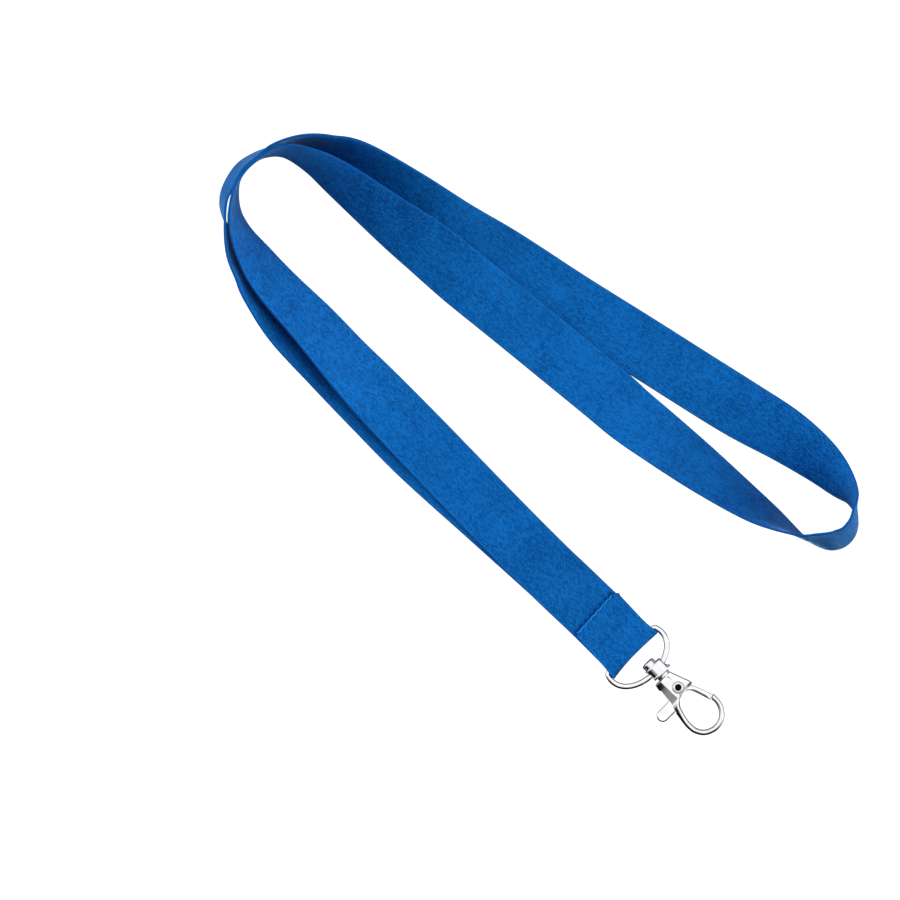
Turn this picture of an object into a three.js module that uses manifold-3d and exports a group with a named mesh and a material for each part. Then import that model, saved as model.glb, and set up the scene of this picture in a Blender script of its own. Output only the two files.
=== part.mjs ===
// A neck lanyard: doubled polyester webbing, a D-ring in its sewn fold, and a swivel snap hook.
// Millimetres, +Z up. The strap lies on z = 0, its sewn end and the hook pointing to -Y.
import * as THREE from "three";
import { mergeVertices } from "three/addons/utils/BufferGeometryUtils.js";
import Module from "manifold-3d";

// Webbing
const STRAP_WIDTH = 20;
const STRAP_THICK = 0.9;
const LAYER = 1.2; // thickness and the air between two layers
const STEPS_PER_POINT = 3;

// Sewn end
const CLIP_X = -41.5;
const BAR_Y = -84.3;
const FOLD_RADIUS = 1.6; // middle of the webbing round the bar
const BAR_Z = STRAP_THICK / 2 + FOLD_RADIUS;
const FLAP_EDGE_Y = -66.7;
const STITCH_Y = -67.9;
const STITCH_LENGTH = 2.4;
const STITCH_COUNT = 7;
const THREAD_RADIUS = 0.15;
const GROOVE = 0.45; // depth to which the stitches pull into the webbing

// D-ring
const WIRE_RADIUS = 0.95;
const RING_HALF_WIDTH = 11.55;
const RING_DEPTH = 7.86; // of the round side, from its widest place
const RING_SHOULDER = 3.05; // from the bar to the widest place

// Snap hook, measured down its axis from the wire that it hangs on
const HOOK_OFFSET = 1.9; // the hook hangs a little to one side of the ring's middle
const EYE_Z = 3.4;
const KNOB_TOP = -4.05;
const BELL_TOP = -2.25;
const BELL_BOTTOM = 2.1;
const BELL_HALF_WIDTH = 4;
const BELL_HALF_DEPTH = 3.2;
const STEM_RADIUS = 0.85;
const STEM_HEAD = [4.45, 5.25];
const COLLAR_TOP = 2.35;
const BODY_TOP = 3.35;
const BODY_HALF_DEPTH = 2.2;
const SLOT = [5.75, 14.6];
const SLOT_HALF_DEPTH = 1.2;
const PIVOT = new THREE.Vector2(0.5, -8.95);
const GATE_HALF_DEPTH = 0.9;
const GATE_REACH = 11.7; // from the pivot to the gate's tip
const NOSE_GAP = 0.3;
const RIVET_RADIUS = 1.3;
const HOOK_END = 28.4;

const wasm = await Module();
wasm.setup();

const blue = new THREE.MeshStandardMaterial({ color: 0x0a5aaa, roughness: 0.75 });
const threadBlue = new THREE.MeshStandardMaterial({ color: 0x1878c0, roughness: 0.6 });
const nickel = () => new THREE.MeshStandardMaterial({ color: 0xd8d8dc, roughness: 0.15, metalness: 1 });
const steel = new THREE.MeshStandardMaterial({ color: 0x9a9ca0, roughness: 0.3, metalness: 1 });

// The route of the webbing, from its front end round the neck loop and back to its rear end:
// x, y, roll in degrees about the direction of travel, and height in layers above the floor.
// At roll 0 the webbing lies flat, at 90 or -90 it stands on one edge.
const ROUTE = [
  [-41.5, -78.5, 0, 1],
  [-41.5, -67.5, 0, 1],
  [-42, -47.5, 0, 1],
  [-42, -23, 0, 1],
  [-41.5, 9, 4, 1],
  [-41, 34, 17, 1],
  [-40.5, 50.5, 29, 1],
  [-39.5, 67, 38, 0.9],
  [-39, 83.5, 45, 0.7],
  [-38, 93, 53, 0.5],
  [-36, 102, 66, 0.3],
  [-33.5, 108, 75, 0.1],
  [-30.5, 112, 82, 0],
  [-26.5, 115.5, 87, 0],
  [-22.5, 117.5, 91, 0],
  [-17, 118, 92, 0],
  [-11.5, 117, 89, 0],
  [-5.5, 113, 79, 0],
  [-1.5, 104, 66, 0.1],
  [0.5, 93.5, 54, 0.3],
  [3, 73, 37, 0.7],
  [5, 58, 22, 1],
  [6.5, 42, 8, 1],
  [8.5, 24, 0, 1],
  [12.5, -16, -5, 1],
  [13.5, -29, -13, 0.7],
  [15, -41, -24, 0.3],
  [17.5, -59.5, -41, 0],
  [20, -75, -55, 0],
  [22, -85, -67, 0],
  [25, -96, -86, 0],
  [27.5, -101, -98, 0],
  [31.5, -106, -107, 0],
  [36, -107.5, -106, 0],
  [40.5, -106, -100, 0],
  [43.5, -103, -91, 0],
  [46, -99.5, -76, 0],
  [47, -93.5, -60, 0],
  [47, -83.5, -44, 0],
  [45, -70, -28, 0],
  [41, -54.5, -10, 0],
  [37.5, -39.5, 0, 0],
  [32, -15, 0, 0],
  [26, 11, 0, 0],
  [20.5, 37, 0, 0],
  [15.5, 56.5, -6, 0],
  [12, 76, -25, 0],
  [9, 95.5, -48, 0],
  [6, 104.5, -64, 0],
  [2.5, 110.5, -74, 0],
  [-2, 115, -82, 0],
  [-7.5, 118.5, -89, 0],
  [-12.5, 120, -95, 0],
  [-18.5, 121, -98, 0],
  [-23, 120.5, -99, 0],
  [-27.5, 119, -100, 0],
  [-31, 117.5, -98, 0],
  [-34, 115, -96, 0],
  [-37, 111, -91, 0],
  [-40, 105.5, -82, 0],
  [-42, 100, -73, 0],
  [-43, 93.5, -63, 0],
  [-44.5, 86, -54, 0],
  [-45.5, 71, -36, 0],
  [-45, 52, -20, 0],
  [-45, 32.5, -9, 0],
  [-45, 10, -3, 0],
  [-43.5, -19, 0, 0],
  [-42, -48, 0, 0],
  [-41.5, -67.5, 0, 0],
];

// A closed solid through rings of points that all hold the same number of points.
function loft(rings, closed = false) {
  const sides = rings[0].length;
  const positions = rings.flat();
  const index = [];
  const spans = closed ? rings.length : rings.length - 1;
  for (let i = 0; i < spans; i++) {
    const here = i * sides;
    const next = ((i + 1) % rings.length) * sides;
    for (let j = 0; j < sides; j++) {
      const k = (j + 1) % sides;
      index.push(here + j, next + j, here + k, here + k, next + j, next + k);
    }
  }
  if (!closed) {
    const last = (rings.length - 1) * sides;
    for (let j = 1; j < sides - 1; j++) {
      index.push(0, j, j + 1);
      index.push(last, last + j + 1, last + j);
    }
  }
  const signed = new THREE.Vector3();
  let volume = 0;
  for (let i = 0; i < index.length; i += 3) {
    signed.crossVectors(positions[index[i]], positions[index[i + 1]]);
    volume += signed.dot(positions[index[i + 2]]);
  }
  if (volume < 0) index.reverse();
  return new THREE.BufferGeometry().setFromPoints(positions).setIndex(index);
}

// A round or oval bar along points in a plane of constant z; halfWidth and halfDepth may vary along it.
function bar(points, halfWidth, halfDepth, sides, closed = false) {
  const count = points.length;
  const rings = points.map((point, i) => {
    const before = closed ? points[(i + count - 1) % count] : points[Math.max(i - 1, 0)];
    const after = closed ? points[(i + 1) % count] : points[Math.min(i + 1, count - 1)];
    const across = new THREE.Vector2(before.y - after.y, after.x - before.x).normalize();
    const u = i / (count - 1);
    return Array.from({ length: sides }, (_, j) => {
      const a = (2 * Math.PI * j) / sides;
      const w = Math.cos(a) * halfWidth(u);
      return new THREE.Vector3(point.x + across.x * w, point.y + across.y * w, Math.sin(a) * halfDepth(u));
    });
  });
  return loft(rings, closed);
}

function solid(geometry) {
  const bare = geometry.clone();
  bare.deleteAttribute("normal");
  bare.deleteAttribute("uv");
  const merged = mergeVertices(bare, 1e-4);
  const vertProperties = new Float32Array(merged.attributes.position.array);
  const triVerts = new Uint32Array(merged.index.array);
  return new wasm.Manifold(new wasm.Mesh({ numProp: 3, vertProperties, triVerts }));
}

function geometryOf(manifold) {
  const mesh = manifold.getMesh();
  const geometry = new THREE.BufferGeometry();
  geometry.setAttribute("position", new THREE.BufferAttribute(mesh.vertProperties, 3));
  geometry.setIndex(new THREE.BufferAttribute(mesh.triVerts, 1));
  geometry.computeVertexNormals();
  return geometry;
}

function block(x, y, z) {
  const geometry = new THREE.BoxGeometry(x[1] - x[0], y[1] - y[0], z[1] - z[0]);
  return solid(geometry.translate((x[0] + x[1]) / 2, (y[0] + y[1]) / 2, (z[0] + z[1]) / 2));
}

function plate(shape, halfDepth) {
  const settings = { depth: 2 * halfDepth, bevelEnabled: false, curveSegments: 20 };
  return solid(new THREE.ExtrudeGeometry(shape, settings).translate(0, 0, -halfDepth));
}

// A round solid about the Y axis, from pairs of radius and distance down the hook's axis.
function turned(profile, sides = 32) {
  const points = profile.map(([radius, down]) => new THREE.Vector2(radius, -down));
  return new THREE.LatheGeometry(points.reverse(), sides);
}

// A round solid about the gate's pivot, from pairs of radius and z.
function aboutPivot(profile, sides = 28) {
  const points = profile.map(([radius, z]) => new THREE.Vector2(radius, z));
  const geometry = new THREE.LatheGeometry(points, sides).rotateX(Math.PI / 2);
  return solid(geometry.translate(PIVOT.x, PIVOT.y, 0));
}

function strapSection(middle, along, across) {
  const normal = new THREE.Vector3().crossVectors(along, across).normalize();
  const corners = [[-1, -1], [1, -1], [1, 1], [-1, 1]];
  return corners.map(([w, t]) =>
    middle.clone()
      .addScaledVector(across, (w * STRAP_WIDTH) / 2)
      .addScaledVector(normal, (t * STRAP_THICK) / 2));
}

// The loop lying on the floor: the lower edge always touches the floor or the layer below.
function loopSections() {
  const place = new THREE.SplineCurve(ROUTE.map(([x, y]) => new THREE.Vector2(x, y)));
  const stance = new THREE.SplineCurve(ROUTE.map(([, , roll, lift]) => new THREE.Vector2(roll, lift)));
  const count = (ROUTE.length - 1) * STEPS_PER_POINT;
  const middles = [];
  const rolls = [];
  for (let i = 0; i <= count; i++) {
    const { x, y } = place.getPoint(i / count);
    const { x: degrees, y: lift } = stance.getPoint(i / count);
    const roll = THREE.MathUtils.degToRad(degrees);
    const rise = (STRAP_WIDTH / 2) * Math.abs(Math.sin(roll)) + (STRAP_THICK / 2) * Math.abs(Math.cos(roll));
    middles.push(new THREE.Vector3(x, y, rise + Math.max(lift, 0) * LAYER));
    rolls.push(roll);
  }
  return middles.map((middle, i) => {
    const along = middles[Math.min(i + 1, count)].clone().sub(middles[Math.max(i - 1, 0)]).normalize();
    const left = new THREE.Vector3(-along.y, along.x, 0).normalize();
    const across = left.multiplyScalar(Math.cos(rolls[i])).add(new THREE.Vector3(0, 0, Math.sin(rolls[i])));
    across.addScaledVector(along, -across.dot(along)).normalize();
    return strapSection(middle, along, across);
  });
}

// The rear end: round the ring's bar and back as a flap over the front end.
function foldSections() {
  const across = new THREE.Vector3(1, 0, 0);
  const path = [];
  for (let i = 0; i <= 12; i++) {
    const a = (Math.PI * i) / 12;
    path.push([BAR_Y - FOLD_RADIUS * Math.sin(a), BAR_Z - FOLD_RADIUS * Math.cos(a)]);
  }
  const flapZ = STRAP_THICK / 2 + 2 * LAYER;
  const drop = BAR_Z + FOLD_RADIUS - flapZ;
  for (let i = 1; i <= 8; i++) {
    const u = i / 8;
    const ease = u * u * (3 - 2 * u);
    path.push([BAR_Y + 8 * u, flapZ + drop * (1 - ease)]);
  }
  path.push([FLAP_EDGE_Y, flapZ]);
  return path.map(([y, z], i) => {
    const [y0, z0] = path[Math.max(i - 1, 0)];
    const [y1, z1] = path[Math.min(i + 1, path.length - 1)];
    return strapSection(new THREE.Vector3(CLIP_X, y, z), new THREE.Vector3(0, y1 - y0, z1 - z0).normalize(), across);
  });
}

const STITCH_HALF = (STITCH_COUNT * STITCH_LENGTH) / 2;
const FLAP_TOP = STRAP_THICK + 2 * LAYER;

function webbing() {
  const whole = solid(loft([...loopSections(), ...foldSections()]));
  const x = [CLIP_X - STITCH_HALF - 0.6, CLIP_X + STITCH_HALF + 0.6];
  const y = [STITCH_Y - 0.35, STITCH_Y + 0.35];
  const top = block(x, y, [FLAP_TOP - GROOVE, FLAP_TOP + 1]);
  const bottom = block(x, y, [-1, GROOVE]);
  return geometryOf(whole.subtract(top).subtract(bottom));
}

// A row of stitches: the thread dips into the webbing once for each stitch.
function thread(z, dip) {
  const points = [];
  const steps = STITCH_COUNT * 6;
  for (let i = 0; i <= steps; i++) {
    const x = CLIP_X - STITCH_HALF + (STITCH_LENGTH * i) / 6;
    const wave = (1 - Math.cos((2 * Math.PI * i) / 6)) / 2;
    points.push(new THREE.Vector3(x, STITCH_Y, z - dip * (1 - wave)));
  }
  const rings = points.map((point) =>
    Array.from({ length: 6 }, (_, j) => {
      const a = (Math.PI * j) / 3;
      return point.clone().add(new THREE.Vector3(0, Math.cos(a), Math.sin(a)).multiplyScalar(THREAD_RADIUS));
    }));
  return loft(rings);
}

// The D-ring in its own plane: bar on the X axis, round side towards -Y.
function ringPoints() {
  const points = [];
  for (let x = -9.6; x < 9.7; x += 4.8) points.push(new THREE.Vector3(x, 0, 0));
  points.push(new THREE.Vector3(10.95, -0.4, 0), new THREE.Vector3(11.4, -1.6, 0));
  for (let degrees = 90; degrees >= -90; degrees -= 15) {
    const a = THREE.MathUtils.degToRad(degrees);
    const y = -RING_SHOULDER - RING_DEPTH * Math.cos(a);
    points.push(new THREE.Vector3(RING_HALF_WIDTH * Math.sin(a), y, 0));
  }
  points.push(new THREE.Vector3(-11.4, -1.6, 0), new THREE.Vector3(-10.95, -0.4, 0));
  return new THREE.CatmullRomCurve3(points, true, "centripetal").getPoints(96).slice(0, -1);
}

function dRing() {
  return bar(ringPoints(), () => WIRE_RADIUS, () => WIRE_RADIUS, 12, true);
}

// Where the hook hangs, in the ring's plane, and which way the wire runs there.
const HANG_SINE = HOOK_OFFSET / RING_HALF_WIDTH;
const HANG_COSINE = Math.sqrt(1 - HANG_SINE * HANG_SINE);
const HANG_Y = -RING_SHOULDER - RING_DEPTH * HANG_COSINE;
const WIRE_SLOPE = Math.atan((RING_DEPTH * HANG_SINE) / (RING_HALF_WIDTH * HANG_COSINE));
const RING_TILT = Math.asin((EYE_Z - BAR_Z) / -HANG_Y);

function swivelEye() {
  const bell = solid(turned([[0, BELL_TOP], [3.3, BELL_TOP], [3.75, -1.7], [3.8, 1.3], [4, 1.45], [4, BELL_BOTTOM],
    [0, BELL_BOTTOM]]).scale(1, 1, BELL_HALF_DEPTH / BELL_HALF_WIDTH));
  const knob = solid(turned([[0, KNOB_TOP], [1.95, KNOB_TOP], [2.3, -3.7], [2.3, -2], [0, -2]]).translate(-0.9, 0, 0));
  const stem = solid(turned([[0, 1.5], [STEM_RADIUS, 1.5], [STEM_RADIUS, STEM_HEAD[0]], [1.4, STEM_HEAD[0]],
    [1.4, 5.05], [1.1, STEM_HEAD[1]], [0, STEM_HEAD[1]]], 24));
  // The cross hole is wider at its mouths, which lets it turn on the curved wire.
  const mouths = [];
  for (let x = -4.5; x <= 4.5; x += 0.75) mouths.push([1.12 + 0.025 * x * x, x]);
  const hole = turned([[0, -4.5], ...mouths, [0, 4.5]], 24).rotateZ(Math.PI / 2).rotateZ(WIRE_SLOPE);
  return geometryOf(bell.add(knob).add(stem).subtract(solid(hole)));
}

// A shape from points of x and distance down the hook's axis.
function outline(points) {
  return new THREE.Shape(points.map(([x, down]) => new THREE.Vector2(x, -down)));
}

function hookWire() {
  const course = [[-4.9, 13.6], [-5.25, 15.5], [-5.65, 18], [-5.85, 20.5], [-5.5, 23.3], [-3.9, 25.85], [-1.5, 27.15],
    [1, 27.4], [3.6, 26.5], [5.6, 24.3], [6.5, 21.7], [6.4, 20.1], [6.1, 18.6]];
  const points = course.map(([x, down]) => new THREE.Vector3(x, -down, 0));
  const path = new THREE.CatmullRomCurve3(points, false, "centripetal").getSpacedPoints(40);
  return solid(bar(path, () => 1, (u) => 1.3 + 0.7 * Math.max(0, 1 - 4 * u), 12));
}

// The nose ends on an arc about the pivot, so that the gate's tip swings clear of it.
function noseCut() {
  const shape = new THREE.Shape();
  const from = THREE.MathUtils.degToRad(-80);
  const to = THREE.MathUtils.degToRad(-40);
  shape.absarc(PIVOT.x, PIVOT.y, GATE_REACH + NOSE_GAP, from, to, false);
  shape.absarc(PIVOT.x, PIVOT.y, 8, to, from, true);
  return plate(shape, 3);
}

function hookBody() {
  const shell = plate(outline([[-4.4, BODY_TOP], [2.4, BODY_TOP], [5, 10.95], [4.2, 11.5], [0.8, 11.4], [-1.9, 12.2],
    [-3.7, 14.2], [-4.2, 16], [-6.1, 16], [-5.5, 11.2]]), BODY_HALF_DEPTH);
  const collar = solid(turned([[0, COLLAR_TOP], [2.1, COLLAR_TOP], [2.3, 2.5], [2.3, 4], [0, 4]]));
  const slot = block([-9, 9], [-SLOT[1], -SLOT[0]], [-SLOT_HALF_DEPTH, SLOT_HALF_DEPTH]);
  const bore = solid(turned([[0, 2], [1.05, 2], [1.05, 4.4], [0, 4.4]], 24));
  const cavity = block([-1.75, 1.75], [-6.1, -4.2], [-1.7, 1.7]);
  const rivetHole = aboutPivot([[0, -3], [RIVET_RADIUS + 0.1, -3], [RIVET_RADIUS + 0.1, 3], [0, 3]]);
  const hook = hookWire().subtract(noseCut());
  return geometryOf(shell.add(collar).add(hook).subtract(slot).subtract(bore).subtract(cavity).subtract(rivetHole));
}

function gateLever() {
  const shape = new THREE.Shape();
  shape.moveTo(-10, -10.15);
  shape.lineTo(-5, -10.15);
  shape.lineTo(-1.95, -8);
  shape.absarc(PIVOT.x, PIVOT.y, 2.6, Math.PI * 0.88, 0, true);
  shape.lineTo(4.05, -11.6);
  shape.lineTo(4.85, -12.9);
  shape.lineTo(7.2, -20);
  shape.lineTo(5, -20);
  shape.lineTo(3.1, -13.2);
  shape.lineTo(2.3, -12);
  shape.lineTo(0.5, -11.7);
  shape.lineTo(-2.1, -12.2);
  shape.lineTo(-4.2, -13.8);
  shape.lineTo(-5.4, -14.25);
  shape.lineTo(-10, -14.25);
  shape.bezierCurveTo(-12.3, -14.25, -12.3, -10.15, -10, -10.15);
  const reach = aboutPivot([[0, -2], [GATE_REACH, -2], [GATE_REACH, 2], [0, 2]], 96);
  const tab = block([-13, 0], [-16, -9], [-2, 2]);
  const pocket = aboutPivot([[0, -0.3], [3.1, -0.3], [3.1, 2], [0, 2]]);
  const hole = aboutPivot([[0, -2], [RIVET_RADIUS + 0.1, -2], [RIVET_RADIUS + 0.1, 2], [0, 2]]);
  const whole = plate(shape, GATE_HALF_DEPTH);
  const trimmed = whole.intersect(reach.add(tab));
  return geometryOf(trimmed.subtract(pocket).subtract(hole));
}

// A semi-tubular rivet, its hollow end to the front.
function gateRivet() {
  const face = BODY_HALF_DEPTH + 0.1;
  const rim = face + 0.25;
  return geometryOf(aboutPivot([[0, -rim], [1.6, -rim], [1.75, -rim + 0.1], [1.75, -face], [RIVET_RADIUS, -face],
    [RIVET_RADIUS, face], [1.75, face], [1.75, rim - 0.1], [1.55, rim], [0.95, rim], [0.85, rim - 0.2],
    [0.85, rim - 2.6], [0, rim - 2.6]]));
}

// Two turns of wire in the lever's pocket: one leg pushes the lever, the other bears on the neck.
function gateSpring() {
  const coil = [new THREE.Vector3(-2.7, 0.9, 0)];
  for (let i = 0; i <= 38; i++) {
    const a = Math.PI * 0.75 + (Math.PI * 2 * 1.75 * i) / 38;
    coil.push(new THREE.Vector3(1.75 * Math.cos(a), 1.75 * Math.sin(a), (0.86 * i) / 38));
  }
  coil.push(new THREE.Vector3(1.2, 2.5, 0.86));
  const path = new THREE.CatmullRomCurve3(coil, false, "centripetal").getSpacedPoints(64);
  const rings = path.map((point, i) => {
    const along = path[Math.min(i + 1, 64)].clone().sub(path[Math.max(i - 1, 0)]).normalize();
    const side = new THREE.Vector3(-along.y, along.x, 0).normalize();
    const up = new THREE.Vector3().crossVectors(along, side);
    return Array.from({ length: 6 }, (_, j) => {
      const a = (Math.PI * j) / 3;
      return point.clone().addScaledVector(side, 0.2 * Math.cos(a)).addScaledVector(up, 0.2 * Math.sin(a));
    });
  });
  return loft(rings).translate(PIVOT.x, PIVOT.y, 0);
}

function piece(name, geometry, material) {
  const mesh = new THREE.Mesh(geometry, material);
  mesh.name = name;
  return mesh;
}

const lanyard = new THREE.Group();
lanyard.add(piece("webbing_strap", webbing(), blue));
lanyard.add(piece("top_thread", thread(FLAP_TOP + 0.04, 0.24), threadBlue));
lanyard.add(piece("bobbin_thread", thread(0.22, 0.05), threadBlue));

const ring = new THREE.Group();
ring.position.set(CLIP_X, BAR_Y, BAR_Z);
ring.rotation.x = -RING_TILT;
ring.add(piece("d_ring", dRing(), nickel()));
lanyard.add(ring);

// The hook droops from the ring until its far end touches the floor.
const hook = new THREE.Group();
hook.position.set(CLIP_X + HOOK_OFFSET, BAR_Y + HANG_Y * Math.cos(RING_TILT), EYE_Z);
hook.rotation.x = Math.asin((EYE_Z - 1.4) / (HOOK_END - 1));
hook.add(piece("swivel_eye", swivelEye(), nickel()));
hook.add(piece("hook_body", hookBody(), nickel()));
hook.add(piece("gate_lever", gateLever(), nickel()));
hook.add(piece("gate_rivet", gateRivet(), nickel()));
hook.add(piece("gate_spring", gateSpring(), steel));
lanyard.add(hook);

export default lanyard;
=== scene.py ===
"""A neck lanyard of blue webbing with a D-ring and a swivel snap hook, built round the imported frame."""

import math

import bmesh
import bpy
import numpy as np
from mathutils import Matrix


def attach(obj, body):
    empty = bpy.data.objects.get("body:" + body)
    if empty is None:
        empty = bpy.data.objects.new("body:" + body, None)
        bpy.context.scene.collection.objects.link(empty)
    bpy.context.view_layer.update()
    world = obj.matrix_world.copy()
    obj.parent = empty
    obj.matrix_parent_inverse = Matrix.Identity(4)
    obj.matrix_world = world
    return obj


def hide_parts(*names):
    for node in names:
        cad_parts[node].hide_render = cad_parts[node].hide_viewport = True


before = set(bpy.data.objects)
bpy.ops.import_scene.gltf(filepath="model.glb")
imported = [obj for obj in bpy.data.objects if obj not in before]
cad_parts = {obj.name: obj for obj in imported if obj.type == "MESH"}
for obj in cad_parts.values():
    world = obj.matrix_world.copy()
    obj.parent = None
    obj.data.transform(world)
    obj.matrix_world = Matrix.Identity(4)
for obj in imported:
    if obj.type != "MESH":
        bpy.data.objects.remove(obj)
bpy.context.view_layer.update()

MM = 0.001  # shapes are worked out in millimetres, and every mesh is made in metres

# ------------------------ sizes, in millimetres

# These are the sizes of the part's own source, apart from the places of the flap's edge and of its
# stitch row, which are a few tenths away.
STRAP_WIDTH = 20.0
STRAP_THICK = 0.9
LAYER = 1.2  # thickness and the air between two layers
CLIP_X = -41.5
BAR_Y = -84.3
FOLD_RADIUS = 1.6
BAR_Z = STRAP_THICK / 2 + FOLD_RADIUS
FLAP_EDGE_Y = -67.1
STITCH_Y = -67.6
LOOP_END_Y = -67.9  # where the sections of the neck loop end and those of the fold begin
STITCH_LENGTH = 2.4
STITCH_COUNT = 7
FLAP_TOP = STRAP_THICK + 2 * LAYER
SKEW = 0.052  # the flap was folded over slightly crooked

WIRE_RADIUS = 0.95
RING_HALF_WIDTH = 11.55
RING_DEPTH = 7.86
RING_SHOULDER = 3.05

HOOK_OFFSET = 1.9
EYE_Z = 3.4
HOOK_END = 28.4
PIVOT = (0.5, 8.95)  # x, and distance down the hook

HANG_SINE = HOOK_OFFSET / RING_HALF_WIDTH
HANG_COSINE = math.sqrt(1 - HANG_SINE ** 2)
HANG_Y = -RING_SHOULDER - RING_DEPTH * HANG_COSINE
WIRE_SLOPE = math.atan((RING_DEPTH * HANG_SINE) / (RING_HALF_WIDTH * HANG_COSINE))
RING_TILT = math.asin((EYE_Z - BAR_Z) / -HANG_Y)
DROOP = math.asin((EYE_Z - 1.4) / (HOOK_END - 1))

RING_FRAME = Matrix.Translation((CLIP_X, BAR_Y, BAR_Z)) @ Matrix.Rotation(-RING_TILT, 4, "X")
EYE_PLACE = (CLIP_X + HOOK_OFFSET, BAR_Y + HANG_Y * math.cos(RING_TILT), EYE_Z)
HOOK_FRAME = Matrix.Translation(EYE_PLACE) @ Matrix.Rotation(DROOP, 4, "X")

# The route of the webbing, from its front end round the neck loop and back to its rear end, as in
# the part's source: x, y, roll in degrees about the direction of travel, height in layers.
ROUTE = [
    (-41.5, -78.5, 0, 1), (-41.5, -67.5, 0, 1), (-42, -47.5, 0, 1), (-42, -23, 0, 1),
    (-41.5, 9, 4, 1), (-41, 34, 17, 1), (-40.5, 50.5, 29, 1), (-39.5, 67, 38, 0.9),
    (-39, 83.5, 45, 0.7), (-38, 93, 53, 0.5), (-36, 102, 66, 0.3), (-33.5, 108, 75, 0.1),
    (-30.5, 112, 82, 0), (-26.5, 115.5, 87, 0), (-22.5, 117.5, 91, 0), (-17, 118, 92, 0),
    (-11.5, 117, 89, 0), (-5.5, 113, 79, 0), (-1.5, 104, 66, 0.1), (0.5, 93.5, 54, 0.3),
    (3, 73, 37, 0.7), (5, 58, 22, 1), (6.5, 42, 8, 1), (8.5, 24, 0, 1),
    (12.5, -16, -5, 1), (13.5, -29, -13, 0.7), (15, -41, -24, 0.3), (17.5, -59.5, -41, 0),
    (20, -75, -55, 0), (22, -85, -67, 0), (25, -96, -86, 0), (27.5, -101, -98, 0),
    (31.5, -106, -107, 0), (36, -107.5, -106, 0), (40.5, -106, -100, 0), (43.5, -103, -91, 0),
    (46, -99.5, -76, 0), (47, -93.5, -60, 0), (47, -83.5, -44, 0), (45, -70, -28, 0),
    (41, -54.5, -10, 0), (37.5, -39.5, 0, 0), (32, -15, 0, 0), (26, 11, 0, 0),
    (20.5, 37, 0, 0), (15.5, 56.5, -6, 0), (12, 76, -25, 0), (9, 95.5, -48, 0),
    (6, 104.5, -64, 0), (2.5, 110.5, -74, 0), (-2, 115, -82, 0), (-7.5, 118.5, -89, 0),
    (-12.5, 120, -95, 0), (-18.5, 121, -98, 0), (-23, 120.5, -99, 0), (-27.5, 119, -100, 0),
    (-31, 117.5, -98, 0), (-34, 115, -96, 0), (-37, 111, -91, 0), (-40, 105.5, -82, 0),
    (-42, 100, -73, 0), (-43, 93.5, -63, 0), (-44.5, 86, -54, 0), (-45.5, 71, -36, 0),
    (-45, 52, -20, 0), (-45, 32.5, -9, 0), (-45, 10, -3, 0), (-43.5, -19, 0, 0),
    (-42, -48, 0, 0), (-41.5, -67.5, 0, 0),
]

FAR_TURN = (45.5, 61.5)  # the outer strand's far turn, in points of the route
FAR_TURN_DRAWN_IN = 1.1  # towards the inner strand
SEWN_END = (22.0, 4.0)  # lengths at the front and rear ends of the loop that need fine sections
FINE_STEP = 0.35  # between sections of the webbing at its sewn end, and 3 times that elsewhere
ACROSS_STEPS = 50  # points across each face
EDGE_POINTS = 5  # points round each edge, between the two faces


# ------------------------ camera, light and floor

def make_camera():
    """Straight above, turned so that the strap runs from the upper left to the lower right."""
    data = bpy.data.cameras.new("camera")
    camera = bpy.data.objects.new("camera", data)
    bpy.context.scene.collection.objects.link(camera)
    height = 4.0
    frame_width = 0.298
    aim = (-0.0369, 0.0048)
    data.lens = data.sensor_width * height / frame_width
    data.clip_end = 50
    camera.location = (*aim, height)
    camera.rotation_euler = (0, 0, -math.pi / 4)
    bpy.context.scene.camera = camera


def make_sun(name, energy, soft_degrees, from_zenith, azimuth):
    """A sun so many degrees from straight above, on the side that azimuth turns to from +Y towards -X."""
    data = bpy.data.lights.new(name, "SUN")
    data.energy = energy
    data.angle = math.radians(soft_degrees)
    sun = bpy.data.objects.new(name, data)
    sun.rotation_euler = (math.radians(-from_zenith), 0, math.radians(azimuth))
    sun.visible_glossy = False
    bpy.context.scene.collection.objects.link(sun)


def set_inputs(node, values):
    for name, value in values.items():
        node.inputs[name].default_value = value


class Graph:
    """Short ways to add and join shader nodes."""

    def __init__(self, tree):
        self.tree = tree

    def node(self, kind, **inputs):
        node = self.tree.nodes.new(kind)
        for name, value in inputs.items():
            self.put(node.inputs[name.replace("_", " ")], value)
        return node

    def put(self, socket, value):
        if isinstance(value, bpy.types.NodeSocket):
            self.tree.links.new(value, socket)
        else:
            socket.default_value = value

    def noise(self, place, scale, detail, **others):
        node = self.node("ShaderNodeTexNoise", Vector=place, Scale=scale, Detail=detail, **others)
        return node.outputs["Fac"]

    def math(self, operation, *values):
        node = self.tree.nodes.new("ShaderNodeMath")
        node.operation = operation
        for socket, value in zip(node.inputs, values):
            self.put(socket, value)
        return node.outputs[0]

    def remap(self, value, low, high, to_low=0.0, to_high=1.0):
        node = self.tree.nodes.new("ShaderNodeMapRange")
        node.interpolation_type = "SMOOTHSTEP"
        for socket, number in zip(node.inputs, (value, low, high, to_low, to_high)):
            self.put(socket, number)
        return node.outputs[0]

    def mix(self, factor, a, b):
        node = self.tree.nodes.new("ShaderNodeMix")
        node.data_type = "RGBA"
        self.put(node.inputs[0], factor)
        self.put(node.inputs[6], a)
        self.put(node.inputs[7], b)
        return node.outputs[2]


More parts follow.
